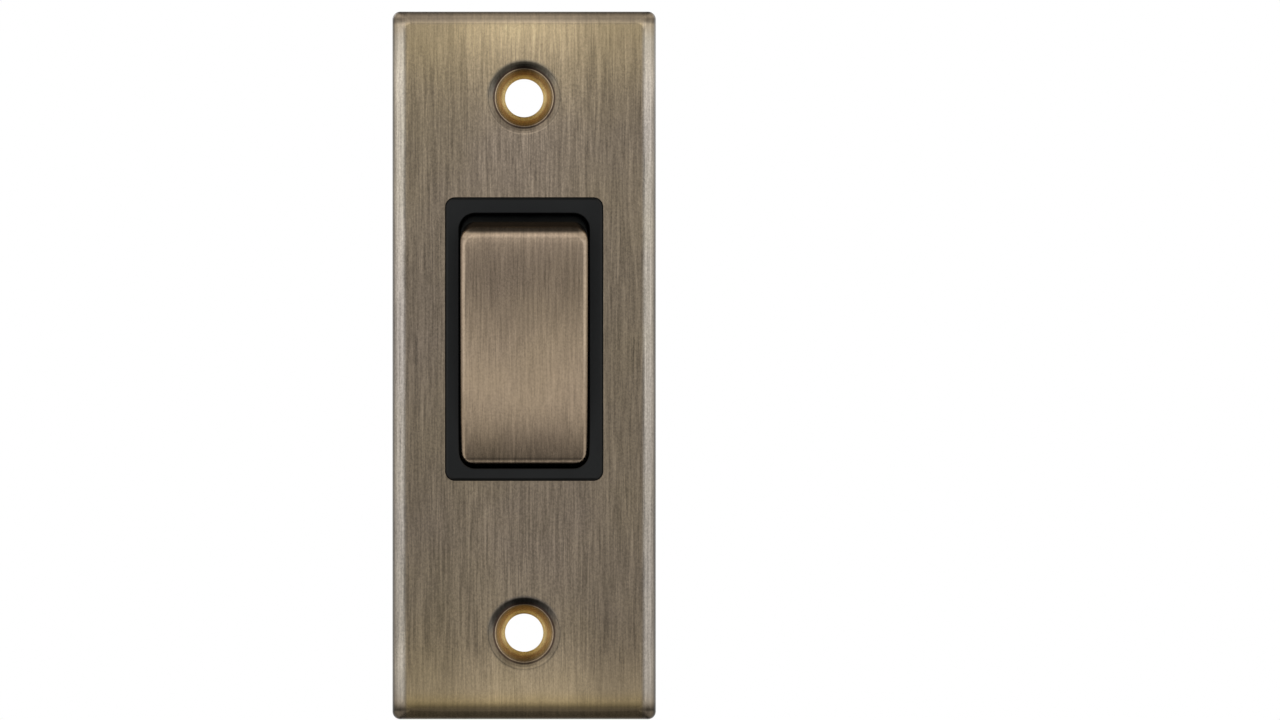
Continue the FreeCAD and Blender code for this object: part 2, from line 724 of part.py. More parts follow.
def terminal_block(x, z, way):
    """Brass block with a blind wire hole, a tapped clamp hole and a step for its strip."""
    inner = z - way * block_h
    block = box(x - block_w / 2, x + block_w / 2, block_y, floor_y, z, inner)
    long = [e for e in block.Edges if e.Length > block_h - 0.01 and abs(e.tangentAt(0).z) > 0.9]
    front = [e for e in long if abs(e.Vertexes[0].Y - block_y) < 1e-6]
    block = block.makeChamfer(block_cut, front)
    block = block.cut(Part.makeCylinder(wire_r, wire_depth, V(x, wire_y, z), V(0, 0, -way)))
    mouth = Part.makeCone(wire_r + mouth_cut, wire_r, mouth_cut, V(x, wire_y, z), V(0, 0, -way))
    block = block.cut(mouth)
    block = block.cut(rod(x, z - way * clamp_z, clamp_screw_r + thread_fit, wire_y, floor_y + 1))
    half, step = strip_w / 2 + block_fit, inner + way * (strip_tongue + block_fit)
    face = strip_front - block_fit / 2
    return block.cut(box(x - half, x + half, face, floor_y + 1, inner - way, step))


def terminal_screw(x, z, way):
    """Clamp screw, backed out so that its tip just clears the wire hole."""
    level = z - way * clamp_z
    tip, seat = wire_y + wire_r + tip_gap, floor_y + clamp_travel + seat_gap
    shank = rod(x, level, clamp_screw_r, tip, seat)
    shank = shank.makeChamfer(screw_cut, rim_edges(shank, tip))
    return shank.fuse(slotted_head(x, level, clamp_head_r, clamp_head_h, seat, clamp_slot))


def earth_terminal_block():
    """Brass block brazed to the plate, its wire hole open downwards."""
    low, high = earth_z - earth_h / 2, earth_z + earth_h / 2
    block = box(earth_x - earth_w / 2, earth_x + earth_w / 2, sheet_back, earth_rear, low, high)
    block = block.makeChamfer(block_cut, rim_edges(block, earth_rear))
    wire = Part.makeCylinder(earth_wire_r, earth_wire_depth, V(earth_x, earth_wire_y, low), V(0, 0, 1))
    screw = rod(earth_x, earth_z, earth_screw_r + thread_fit, earth_wire_y, earth_rear + 1)
    return block.cut(wire).cut(screw)


def earth_terminal_screw():
    tip, seat = earth_wire_y + earth_wire_r + tip_gap, earth_rear + earth_travel + seat_gap
    shank = rod(earth_x, earth_z, earth_screw_r, tip, seat)
    shank = shank.makeChamfer(screw_cut, rim_edges(shank, tip))
    return shank.fuse(slotted_head(earth_x, earth_z, earth_head_r, earth_head_h, seat, earth_slot))


def module_screw(z):
    """Screw through an ear of the frame into a pillar of the plate."""
    seat = sheet_back + pillar_h + ear_t
    shank = rod(0, z, screw_r, sheet_back + module_tip_gap, seat)
    return shank.fuse(slotted_head(0, z, module_head_r, module_head_h, seat, module_slot))


def housing_screw(x, z):
    """Long screw from the back that holds base, cover and frame together."""
    seat = base_front + shoulder_depth
    shank = rod(x, z, screw_r, cover_front - screw_bite, seat)
    return shank.fuse(slotted_head(x, z, housing_head_r, housing_head_h, seat, housing_slot))


nodes = {
    "front_plate": front_plate(),
    "insert_frame": insert_frame(),
    "mechanism_cover": mechanism_cover(),
    "switch_base": switch_base(),
    "rocker_cap": rocker_cap(),
    "rocker_dolly": rocker_dolly(),
    "plunger": plunger(),
    "plunger_spring": plunger_spring(),
    "moving_contact": moving_contact(),
    "moving_tip_upper": moving_tip(1),
    "moving_tip_lower": moving_tip(-1),
    "common_bracket": common_bracket(),
    "fixed_contact_l2": fixed_contact_l2(),
    "fixed_contact_l1": fixed_contact_l1(),
    "fixed_tip_l2": fixed_tip(1),
    "fixed_tip_l1": fixed_tip(-1),
    "earth_terminal_block": earth_terminal_block(),
    "earth_terminal_screw": earth_terminal_screw(),
}
for name, x, z, way in terminals:
    nodes["terminal_block_" + name] = terminal_block(x, z, way)
    nodes["terminal_screw_" + name] = terminal_screw(x, z, way)
for name, z in module_screws:
    nodes["fixing_pillar_" + name] = fixing_pillar(z)
    nodes["module_screw_" + name] = module_screw(z)
for name, x, z in housing_screws:
    nodes["housing_screw_" + name] = housing_screw(x, z)

os.makedirs("parts", exist_ok=True)
for node, shape in nodes.items():
    shape.exportStep("parts/" + node + ".step")
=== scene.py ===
import json
import math
import bmesh
import bpy
from mathutils import Matrix, Vector


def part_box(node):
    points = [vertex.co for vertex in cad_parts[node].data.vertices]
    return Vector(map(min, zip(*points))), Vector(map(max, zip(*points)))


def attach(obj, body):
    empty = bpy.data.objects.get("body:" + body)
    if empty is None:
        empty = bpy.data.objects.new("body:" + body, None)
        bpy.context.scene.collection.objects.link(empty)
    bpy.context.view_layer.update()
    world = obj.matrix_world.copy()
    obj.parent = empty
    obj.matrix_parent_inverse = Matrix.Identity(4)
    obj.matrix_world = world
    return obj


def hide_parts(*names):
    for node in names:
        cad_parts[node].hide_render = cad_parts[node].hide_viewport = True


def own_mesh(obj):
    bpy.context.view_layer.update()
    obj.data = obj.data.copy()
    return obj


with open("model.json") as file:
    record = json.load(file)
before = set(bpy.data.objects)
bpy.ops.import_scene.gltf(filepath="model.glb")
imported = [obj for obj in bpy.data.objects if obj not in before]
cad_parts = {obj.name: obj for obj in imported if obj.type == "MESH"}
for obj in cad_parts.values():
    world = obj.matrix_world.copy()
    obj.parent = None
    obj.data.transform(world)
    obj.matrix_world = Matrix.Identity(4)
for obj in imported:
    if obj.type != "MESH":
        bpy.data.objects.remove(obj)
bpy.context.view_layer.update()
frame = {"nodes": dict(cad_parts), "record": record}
nodes = frame["nodes"]
MM = 0.001

# Places in the CAD model, in millimetres: plate's front, fixing holes, and the tilted rocker's pivot
plate_front = -4.5
hole_height = 32.5
pivot_y, pivot_z = 0.9, 2.97
tilt = math.radians(8)


def srgb(r, g, b):
    """Linear colour of an 8-bit one."""
    def linear(c):
        c /= 255
        return c / 12.92 if c <= 0.04045 else ((c + 0.055) / 1.055) ** 2.4
    return (linear(r), linear(g), linear(b), 1.0)


class Shade:
    """One material and short names for the nodes that it is made of."""

    def __init__(self, name):
        self.mat = bpy.data.materials.new(name)
        self.mat.use_nodes = True
        self.tree = self.mat.node_tree
        self.tree.nodes.clear()
        self.out = self.tree.nodes.new("ShaderNodeOutputMaterial")
        self.coords = self.tree.nodes.new("ShaderNodeTexCoord").outputs["Object"]

    def put(self, socket, value):
        """Link another socket, or set a constant."""
        if isinstance(value, bpy.types.NodeSocket):
            self.tree.links.new(value, socket)
        elif value is not None:
            socket.default_value = value

    def math(self, op, a, b=None):
        n = self.tree.nodes.new("ShaderNodeMath")
        n.operation = op
        for socket, value in zip(n.inputs, (a, b)):
            self.put(socket, value)
        return n.outputs[0]

    def product(self, *values):
        total = values[0]
        for value in values[1:]:
            total = self.math("MULTIPLY", total, value)
        return total

    def axis(self, which):
        """One of the object's own coordinates: 0 across, 1 depth, 2 height."""
        n = self.tree.nodes.new("ShaderNodeSeparateXYZ")
        self.put(n.inputs[0], self.coords)
        return n.outputs[which]

    def scaled(self, x, y, z):
        n = self.tree.nodes.new("ShaderNodeMapping")
        self.put(n.inputs["Vector"], self.coords)
        n.inputs["Scale"].default_value = (x, y, z)
        return n.outputs[0]

    def noise(self, vector, scale, detail=2.0, rough=0.5, distortion=0.0):
        n = self.tree.nodes.new("ShaderNodeTexNoise")
        self.put(n.inputs["Vector"], vector)
        n.inputs["Scale"].default_value = scale
        n.inputs["Detail"].default_value = detail
        n.inputs["Roughness"].default_value = rough
        n.inputs["Distortion"].default_value = distortion
        return n.outputs["Fac"]

    def ranged(self, value, low, high, to_low=0.0, to_high=1.0, smooth=False):
        n = self.tree.nodes.new("ShaderNodeMapRange")
        n.interpolation_type = "SMOOTHSTEP" if smooth else "LINEAR"
        for socket, v in zip(n.inputs, (value, low, high, to_low, to_high)):
            self.put(socket, v)
        return n.outputs[0]

    def spread(self, field, to_low, to_high):
        """The usual range of a noise field brought between two values."""
        return self.ranged(field, 0.3, 0.7, to_low, to_high)

    def step(self, value, low, high, to_low, to_high):
        """Smooth change between two places given in millimetres."""
        return self.ranged(value, low * MM, high * MM, to_low, to_high, True)

    def within(self, value, start, full, hold, end):
        """1 between two places in millimetres and 0 outside, with smooth sides."""
        return self.product(self.step(value, start, full, 0, 1), self.step(value, hold, end, 1, 0))

    def fading(self, mask, amount):
        """Factor that goes from 1 to an amount as a mask goes from 0 to 1."""
        return self.math("SUBTRACT", 1.0, self.product(mask, self.math("SUBTRACT", 1.0, amount)))

    def mix(self, factor, a, b, blend="MIX"):
        n = self.tree.nodes.new("ShaderNodeMix")
        n.data_type = "RGBA"
        n.blend_type = blend
        self.put(n.inputs["Factor"], factor)
        self.put([s for s in n.inputs if s.name == "A" and s.type == "RGBA"][0], a)
        self.put([s for s in n.inputs if s.name == "B" and s.type == "RGBA"][0], b)
        return [s for s in n.outputs if s.type == "RGBA"][0]

    def tinted(self, mask, colour, r, g, b):
        """Colour multiplied by a tint where a mask is 1."""
        return self.mix(mask, colour, (r, g, b, 1.0), "MULTIPLY")

    def tone(self, colour, value):
        """Colour multiplied by a grey value."""
        n = self.tree.nodes.new("ShaderNodeVectorMath")
        n.operation = "SCALE"
        self.put(n.inputs[0], colour)
        self.put(n.inputs["Scale"], value)
        return n.outputs[0]

    def bump(self, height, strength, distance):
        n = self.tree.nodes.new("ShaderNodeBump")
        n.inputs["Strength"].default_value = strength
        n.inputs["Distance"].default_value = distance
        self.put(n.inputs["Height"], height)
        return n.outputs[0]

    def finish(self, colour, roughness, metallic=0.0, normal=None, **rest):
        n = self.tree.nodes.new("ShaderNodeBsdfPrincipled")
        self.put(n.inputs["Base Color"], colour)
        self.put(n.inputs["Roughness"], roughness)
        self.put(n.inputs["Metallic"], metallic)
        self.put(n.inputs["Normal"], normal)
        for key, value in rest.items():
            self.put(n.inputs[key.replace("_", " ")], value)
        self.tree.links.new(n.outputs[0], self.out.inputs["Surface"])
        return self.mat


def antique_brass(name, light, dark, grain, painted_light_and_patina):
    """Lacquered antique brass, brushed from top to bottom, worn and with patina by place, and with painted
    highlights, painted shade and painted reflections.
    """
    s = Shade(name)
    streak = s.noise(s.scaled(3300, 600, 140), 1.0, 3.0, 0.62, 0.7)
    broad = s.noise(s.scaled(700, 200, 45), 1.0, 2.0, 0.5, 0.3)
    patch = s.noise(s.coords, 55.0, 3.0, 0.55)
    fleck = s.noise(s.scaled(5200, 1500, 160), 1.0, 1.0, 0.5)
    dust = s.noise(s.scaled(4600, 4600, 3400), 1.0, 1.0, 0.5)
    mean = 0.99
    level = s.spread(streak, mean - grain, mean + grain)
    for field, depth in ((broad, 0.05), (patch, 0.03), (fleck, grain * 0.35), (dust, grain * 0.6)):
        level = s.math("ADD", level, s.spread(field, -depth, depth))

    # The brushing is calmer towards both ends
    height = s.axis(2)
    side, end = s.math("ABSOLUTE", s.axis(0)), s.math("ABSOLUTE", height)
    calm = s.step(end, 33, 41, 1, 0.5)
    level = s.math("ADD", s.product(s.math("SUBTRACT", level, mean), calm), mean)

    # A brighter strip down the middle, partly a polished finish and partly a painted highlight, most of all
    # near the ends but not on the rolled edges
    middle = s.step(side, 2.5, 11, 1, 0)
    ends = s.ranged(end, 14 * MM, 42 * MM, 0.06, 0.42)
    ends = s.math("ADD", ends, s.step(height, 36, 41.5, 0, 0.26))
    upper_roll = s.step(height, 40.8, 42.3, 1, 0.33)
    lower_roll = s.step(height, -42.2, -40.0, 0.2, 1)
    polished_strip_and_highlight = s.product(middle, ends, upper_roll, lower_roll)
    level = s.product(level, s.math("ADD", polished_strip_and_highlight, 1.0))

    colour = painted_light_and_patina(s, s.mix(s.ranged(patch, 0.35, 0.7), light, dark), level)
    rough = s.ranged(streak, 0.25, 0.75, 0.21, 0.27)
    normal = s.bump(s.math("ADD", streak, s.product(fleck, 0.5)), 0.2, 0.00002)
    tangent = s.tree.nodes.new("ShaderNodeCombineXYZ")
    tangent.inputs[0].default_value = 1.0
    tangent.inputs[1].default_value = 0.02
    return s.finish(colour, rough, 1.0, normal, Anisotropic=0.6, Tangent=tangent.outputs[0])


def plate_painted_light_and_patina(s, colour, level):
    """Plate: painted highlights and yellower painted warm reflections towards both ends, painted shade on
    the outer rim, paler painted reflections on the side rolls.
    """
    x, depth, height = s.axis(0), s.axis(1), s.axis(2)
    side, end = s.math("ABSOLUTE", x), s.math("ABSOLUTE", height)
    level = s.product(
        level,
        # Painted light: darker towards the bottom, lighter towards the top
        s.ranged(height, -28 * MM, 28 * MM, 0.88, 1.2),
        # Upper end: painted highlight, painted shade where the roll starts, painted highlight again on the
        # roll
        s.step(height, 28, 43, 1, 1.6),
        s.step(height, 41.3, 41.75, 1, 0.5),
        s.step(height, 42.0, 42.4, 1, 1.8),
        # Lower end: painted highlight, then painted shade on the roll with a painted highlight on its last
        # edge
        s.step(height, -41, -31.5, 1.5, 1),
        s.step(height, -41.85, -40.55, 0.2, 1),
        s.step(height, -42.1, -41.75, 2.6, 1),
        # Side walls: darker behind the roll
        s.step(depth, -4.1, -3.6, 1, 0.6),
        # Side rolls: painted highlight on the crest, painted shade further out
        s.step(side, 14.3, 14.5, 1, 1.2),
        s.step(side, 14.7, 14.95, 1, 0.78),
        s.step(side, 15.6, 15.85, 1, 0.6),
        # Right roll: its painted highlight lies a little further out
        s.step(x, 14.65, 14.85, 1, 0.91),
        s.step(x, 15.15, 15.35, 1, 1.11))
    # Painted shade on the side rolls towards both ends
    corner = s.product(s.step(side, 14.1, 14.6, 0, 1), s.step(end, 34, 41, 0, 1))
    level = s.product(level, s.fading(corner, 0.64))

    # Painted warm reflection: yellower towards both ends, not on the outer rim, weaker on the side rolls
    warm_painted_reflection = s.product(s.step(end, 26, 42, 0, 0.8), s.step(end, 41.2, 41.9, 1, 0))
    warm_painted_reflection = s.product(warm_painted_reflection, s.step(side, 14.1, 14.6, 1, 0.3))
    colour = s.tinted(warm_painted_reflection, colour, 1.0, 0.97, 0.78)
    # Painted warm reflection at the lower end, not on the side rolls
    lower_warm_painted_reflection = s.product(s.step(height, -41.4, -39, 0.9, 0), s.step(side, 14.1, 14.6, 1, 0))
    colour = s.tinted(lower_warm_painted_reflection, colour, 1.0, 0.96, 0.76)
    # Painted pale, bluish reflection along the side rolls, fading out near the ends
    pale_painted_reflection = s.product(s.step(side, 14.15, 14.6, 0, 1), s.step(end, 39, 42.4, 1, 0))
    colour = s.tinted(pale_painted_reflection, colour, 1.09, 1.2, 1.4)
    return countersunk(s, s.tone(colour, level), x, height)


def countersunk(s, colour, x, height):
    """The two dished holes: patina and painted shade in the dish, a painted shadow with a bluish painted
    reflection on its upper side, bare golden brass in the countersink with a painted highlight next to the
    hole.
    """
    off = s.math("SUBTRACT", height, s.product(s.math("SIGN", height), hole_height * MM))
    radius = s.math("SQRT", s.math("ADD", s.product(x, x), s.product(off, off)))

    # How far a place lies towards the dish's upper side, leaning a little to the left: -1 to 1
    lean = math.radians(12)
    up = s.math("SUBTRACT", s.product(off, math.cos(lean)), s.product(x, math.sin(lean)))
    up = s.math("DIVIDE", up, radius)

    # Patina and painted shade in the dish, which starts where the countersink ends; on its upper side a
    # painted shadow with a bluish painted reflection
    rim = 3.5
    dish = s.within(radius, rim, rim + 0.1, 4.3, 4.6)
    shade = s.within(radius, rim, rim + 0.1, 4.1, 4.8)
    line = s.within(radius, rim, rim + 0.1, 3.72, 3.84)
    colour = s.tone(colour, s.fading(dish, s.ranged(up, -1.0, -0.7, 0.64, 0.36, True)))
    colour = s.tone(colour, s.fading(shade, s.ranged(up, 0.1, 0.8, 1.0, 0.25, True)))
    bluish_painted_reflection = s.product(shade, s.ranged(up, 0.0, 0.6, 0.0, 1.0, True))
    colour = s.tinted(bluish_painted_reflection, colour, 0.97, 1.08, 1.3)

    # Gold from the hole outward, palest next to the hole as a painted highlight, then a fine dark line
    # round its rim
    gold_and_painted_highlight = s.mix(s.step(radius, 2.55, 2.95, 0, 1), srgb(234, 212, 156), srgb(178, 143, 95))
    gold_and_painted_highlight = s.mix(s.step(radius, 3.0, 3.2, 0, 1), gold_and_painted_highlight, srgb(161, 134, 88))
    gold_and_painted_highlight = s.mix(s.step(radius, 3.25, 3.4, 0, 1), gold_and_painted_highlight, srgb(144, 124, 98))
    speckle = s.spread(s.noise(s.scaled(900, 900, 900), 1.0, 2.0), 0.9, 1.1)
    inside = s.step(radius, rim - 0.04, rim + 0.04, 1, 0)
    colour = s.mix(inside, colour, s.tone(gold_and_painted_highlight, speckle))
    return s.mix(s.product(line, 0.8), colour, srgb(60, 46, 38))


def cap_painted_light(s, colour, level):
    """Rocker cap: painted highlights on the edges at both ends, painted shade over the rounded upper end,
    darker on the side edges.
    """
    # Height above the pivot along the tilted cap
    u = s.math("ADD", s.product(s.axis(2), math.cos(tilt)), s.product(s.axis(1), -math.sin(tilt)))
    u = s.math("SUBTRACT", u, (pivot_z * math.cos(tilt) - pivot_y * math.sin(tilt)) * MM)
    from_crease = s.math("ABSOLUTE", s.math("ADD", u, 13.37 * MM))
    level = s.product(
        level,
        s.step(s.math("ABSOLUTE", s.axis(0)), 7.2, 7.6, 1, 0.7),
        # Upper end: painted highlight on the edge, then painted shade over the rounding
        s.step(u, 13.5, 13.72, 1, 1.22),
        s.step(u, 14.0, 14.42, 1, 0.18),
        # Lower end: painted shade in a thin crease, a painted highlight on the edge, painted shade below it
        s.step(from_crease, 0.05, 0.18, 0.65, 1),
        s.step(u, -13.7, -13.5, 2.1, 1),
        s.step(u, -13.95, -13.72, 0.1, 1))
    return s.tone(colour, level)


def black_moulding():
    """Black satin moulding with a fine eroded texture."""
    s = Shade("black_moulding")
    grain = s.noise(s.coords, 6000.0, 2.0, 0.6)
    cloud = s.noise(s.coords, 160.0, 3.0, 0.5)
    colour = s.mix(s.ranged(cloud, 0.35, 0.65), srgb(12, 13, 12), srgb(16, 17, 16))
    rough = s.math("ADD", s.spread(cloud, 0.40, 0.48), s.spread(grain, -0.03, 0.03))
    return s.finish(colour, rough, 0.0, s.bump(grain, 0.25, 0.00002), Specular_IOR_Level=0.22)


def white_moulding():
    """Off-white moulding with faint flow marks."""
    s = Shade("white_moulding")
    grain = s.noise(s.coords, 4000.0, 2.0, 0.5)
    flow = s.noise(s.scaled(110, 300, 60), 1.0, 3.0, 0.5, 0.6)
    colour = s.mix(s.ranged(flow, 0.35, 0.65), srgb(228, 225, 216), srgb(236, 233, 225))
    return s.finish(colour, s.spread(flow, 0.42, 0.5), 0.0, s.bump(grain, 0.15, 0.00002))


def turned_metal(name, light, dark, rough, blotch):
    """Machined or stamped metal with fine tool marks and a slightly uneven tarnish."""
    s = Shade(name)
    marks = s.noise(s.scaled(900, 5200, 900), 1.0, 2.0, 0.5)
    tarnish = s.noise(s.coords, blotch, 4.0, 0.6)
    colour = s.mix(s.ranged(tarnish, 0.35, 0.7), light, dark)
    colour = s.tone(colour, s.spread(marks, 0.93, 1.05))
    roughness = s.math("ADD", s.spread(tarnish, rough - 0.04, rough + 0.06), s.spread(marks, -0.03, 0.03))
    return s.finish(colour, roughness, 1.0, s.bump(marks, 0.2, 0.00001))


plate_grain, cap_grain = 0.24, 0.17
plate_brass = antique_brass(
    "antique_brass", srgb(147, 132, 115), srgb(149, 134, 111), plate_grain, plate_painted_light_and_patina)
looks = {
    "antique_brass": plate_brass,
    "black_moulding": black_moulding(),
    "white_moulding": white_moulding(),
    "plain_brass": turned_metal("plain_brass", srgb(214, 178, 104), srgb(186, 146, 78), 0.3, 350.0),
    "silver_contact": turned_metal("silver_contact", srgb(226, 224, 218), srgb(190, 186, 176), 0.28, 700.0),
    "plated_steel": turned_metal("plated_steel", srgb(198, 201, 204), srgb(168, 171, 175), 0.32, 500.0),
    "spring_steel": turned_metal("spring_steel", srgb(165, 166, 168), srgb(135, 136, 139), 0.3, 900.0),
}
cap_brass = antique_brass(
    "antique_brass_cap", srgb(152, 134, 115), srgb(155, 137, 114), cap_grain, cap_painted_light)
# Darker copy of the cap's brass for the skirts: painted shade
skirt_brass_painted_shade = antique_brass(
    "antique_brass_skirt_painted_shade", srgb(92, 78, 60), srgb(96, 82, 64), cap_grain, cap_painted_light)

slot_of = {row["node"]: row["material_slot"] for row in frame["record"]["subparts"]}
for name, obj in nodes.items():
    obj.data.materials.clear()
    obj.data.materials.append(looks[slot_of[name]])
nodes["rocker_cap"].data.materials[0] = cap_brass


def rocker_point(x, f, u):
    """Point of the tilted rocker in metres: f forward of the pivot, u above it when level."""
    y = pivot_y - (f * math.cos(tilt) + u * math.sin(tilt))
    z = pivot_z + (u * math.cos(tilt) - f * math.sin(tilt))
    return Vector((x, y, z)) * MM


def smooth_but_sharp(mesh):
    """Smooth shading that keeps the edges over 35 degrees."""
    mesh.shade_smooth()
    mesh.set_sharp_from_angle(angle=math.radians(35))


def piece(name, points, faces, material, body, slot, *stands_for):
    """Mesh piece that rides on a body; its normals turn outward."""
    mesh = bpy.data.meshes.new(name)
    mesh.from_pydata(points, [], faces)
    work = bmesh.new()
    work.from_mesh(mesh)
    bmesh.ops.recalc_face_normals(work, faces=work.faces)
    work.to_mesh(mesh)
    work.free()
    smooth_but_sharp(mesh)
    mesh.materials.append(material)
    obj = bpy.data.objects.new(name, mesh)
    bpy.context.scene.collection.objects.link(obj)
    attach(obj, body)
    if stands_for:
        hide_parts(*stands_for)
    return obj


def skin(rings, first=None, last=None):
    """Points and faces of closed rings joined in a row, with a point at either end."""
    points = [p for ring in rings for p in ring]
    faces = []
    n = len(rings[0])
    for k in range(len(rings) - 1):
        for i in range(n):
            j = (i + 1) % n
            faces.append((k * n + i, k * n + j, (k + 1) * n + j, (k + 1) * n + i))
    for tip, base in ((first, 0), (last, (len(rings) - 1) * n)):
        if tip is not None:
            points.append(tip)
            faces += [(base + i, base + (i + 1) % n, len(points) - 1) for i in range(n)]
    return points, faces


# Rocker cap: crowned face, rounded edge, skirts and inner wall in one closed skin.
# Its ends are arcs about the pivot, which meet the crowned face at edge_f forward of it.
cap_half = 7.68
crown_r = 60.0
corner_r = 1.8
edge_r = 0.6
skirt = 1.6
sheet = 0.4
well_half, end_gap, pivot_depth, edge_f = 15.47, 0.3, 5.6, 7.15
end_r = math.hypot(well_half - end_gap, pivot_depth)
crown_f = edge_f - math.sqrt(crown_r ** 2 - (end_r ** 2 - edge_f ** 2))
corner_steps, end_steps, side_steps = 12, 16, 44
edge_steps, outer_shells, inner_shells = 8, 14, 4


def end_reach(inset, depth):
    """How far up the end of the cap reaches at a depth under the crowned face."""
    a, b = end_r - inset, crown_r - depth
    f = (a * a - b * b + crown_f ** 2) / (2 * crown_f)
    return math.sqrt(a * a - f * f)


def cap_ring(inset, depth, share=1.0):
    """Closed outline of the cap at an inset and depth, drawn in to a share of its size."""
    wide, tall = cap_half - inset, end_reach(inset, depth)
    r = max(corner_r - inset, 0.3)
    corners_end = ((-(wide - r), tall), (-wide, -(tall - r)), (wide - r, -tall), (wide, tall - r))
    flat = []
    for side, (sx, su) in enumerate(((1, 1), (-1, 1), (-1, -1), (1, -1))):
        for k in range(corner_steps + 1):
            a = math.radians(90 * (side + k / corner_steps))
            flat.append((sx * (wide - r) + r * math.cos(a), su * (tall - r) + r * math.sin(a)))
        near, far = flat[-1], corners_end[side]
        steps = end_steps if side % 2 == 0 else side_steps
        for k in range(1, steps):
            t = k / steps
            flat.append((near[0] + (far[0] - near[0]) * t, near[1] + (far[1] - near[1]) * t))
    ring = []
    for x, u in flat:
        x, u = x * share, u * share
        ring.append(rocker_point(x, crown_f + math.sqrt((crown_r - depth) ** 2 - u * u), u))
    return ring


outer = [cap_ring(0, skirt)]
for k in range(edge_steps + 1):
    a = math.radians(90 * k / edge_steps)
    outer.append(cap_ring(edge_r * (1 - math.cos(a)), edge_r * (1 - math.sin(a))))
outer += [cap_ring(edge_r, 0, 1 - k / outer_shells) for k in range(1, outer_shells)]
inner = [cap_ring(sheet, skirt), cap_ring(sheet, sheet)]
inner += [cap_ring(sheet, sheet, 1 - k / inner_shells) for k in range(1, inner_shells)]
under, crest = rocker_point(0, crown_f + crown_r - sheet, 0), rocker_point(0, crown_f + crown_r, 0)
points, faces = skin(inner[::-1] + outer, under, crest)
cap = piece("cap_brushed", points, faces, cap_brass, "rocker", "antique_brass", "rocker_cap")
# The inside and the outer skirt take the darker copy, a painted shade
cap.data.materials.append(skirt_brass_painted_shade)
skirt_faces = (len(inner) + 1) * len(outer[0])
for k, face in enumerate(cap.data.polygons):
    face.material_index = 1 if k < skirt_faces else 0

# Compression spring of round wire; the turn at each end is closed, a small share of the height
bore_top = 1.0
spring_top, spring_foot = crown_f + crown_r - skirt - bore_top, -2.0
coil_r, wire_r, end_play = 1.1, 0.15, 0.02
turns, per_turn, wire_sides = 8, 24, 10
closed = 0.06
open_turns = turns - 2
top, foot = spring_top - end_play - wire_r, spring_foot + end_play + wire_r
rings = []
for k in range(per_turn * turns + 1):
    turn = k / per_turn
    share = min(turn, 1) * closed
    share += max(0, min(turn, turns - 1) - 1) * (1 - 2 * closed) / open_turns
    share += max(0, turn - (turns - 1)) * closed
    a, f = 2 * math.pi * turn, top + (foot - top) * share
    out = Vector((math.cos(a), 0, math.sin(a)))
    heart = Vector((coil_r * math.cos(a), f, coil_r * math.sin(a)))
    ring = []
    for side in range(wire_sides):
        b = 2 * math.pi * side / wire_sides
        p = heart + out * (wire_r * math.cos(b)) + Vector((0, 1, 0)) * (wire_r * math.sin(b))
        ring.append(rocker_point(p.x, p.y, p.z))
    rings.append(ring)
ends = [sum(rings[k], Vector()) / wire_sides for k in (0, -1)]
points, faces = skin(rings, ends[0], ends[1])
spring_look = looks["spring_steel"]
spring = piece("spring_round_wire", points, faces, spring_look, "rocker", "spring_steel", "plunger_spring")
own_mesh(spring)


def cut_slot(obj, centre, size):
    """Cut a box out of an object's mesh."""
    bar = bmesh.new()
    bmesh.ops.create_cube(bar, size=1.0)
    shape = Matrix.Translation(centre) @ Matrix.Diagonal((*size, 1))
    bmesh.ops.transform(bar, matrix=shape, verts=bar.verts)
    mesh = bpy.data.meshes.new("slot")
    bar.to_mesh(mesh)
    bar.free()
    cutter = bpy.data.objects.new("slot", mesh)
    bpy.context.scene.collection.objects.link(cutter)
    cut = obj.modifiers.new("slot", "BOOLEAN")
    cut.operation, cut.solver, cut.object = "DIFFERENCE", "EXACT", cutter
    graph = bpy.context.evaluated_depsgraph_get()
    made = bpy.data.meshes.new_from_object(obj.evaluated_get(graph))
    obj.modifiers.clear()
    obj.data = made
    smooth_but_sharp(made)
    bpy.data.objects.remove(cutter)


def screw(node, body, head_h, shank_r, pitch, head_r, slot_w):
    """Slotted screw with a cut thread in a CAD screw's place, its axis along Y, its head at the back."""
    low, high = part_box(node)
    x, z = (low.x + high.x) / 2 / MM, (low.z + high.z) / 2 / MM
    tip, end = low.y / MM, high.y / MM
    lead = 0.3
    seat, start = end - head_h, tip + lead
    around, per_turn, deep = 28, 8, min(0.22, pitch * 0.45)

    # Rings from the tip to the head, each with a radius and a place along the axis all round
    rings = [[(0.55 * shank_r, tip)] * around]
    rows = int((seat - start) / pitch * per_turn)
    for k in range(rows + 1):
        y = start + (seat - start) * k / rows
        fade = min(1.0, (seat - y) / pitch)
        ring = []
        for a in range(around):
            phase = ((y - tip) / pitch - a / around) % 1
            cut = deep * (1 - abs(2 * phase - 1))
            ring.append((shank_r - cut * fade, y))
        rings.append(ring)
    head = ((head_r - 0.12, seat), (head_r, seat + 0.12), (head_r, seat + head_h - 0.22),
            (head_r - 0.08, seat + head_h - 0.08), (head_r - 0.25, seat + head_h))
    rings += [[corner] * around for corner in head]
    solid = []
    for ring in rings:
        turned = []
        for a, (r, y) in enumerate(ring):
            angle = 2 * math.pi * a / around
            turned.append(Vector((x + r * math.cos(angle), y, z + r * math.sin(angle))) * MM)
        solid.append(turned)
    front, rear = Vector((x, tip, z)) * MM, Vector((x, seat + head_h, z)) * MM
    points, faces = skin(solid, front, rear)
    steel = looks["plated_steel"]
    obj = piece("threaded_" + node, points, faces, steel, body, "plated_steel", node)
    cut_slot(obj, rear, Vector((slot_w, head_h, head_r * 2.4)) * MM)


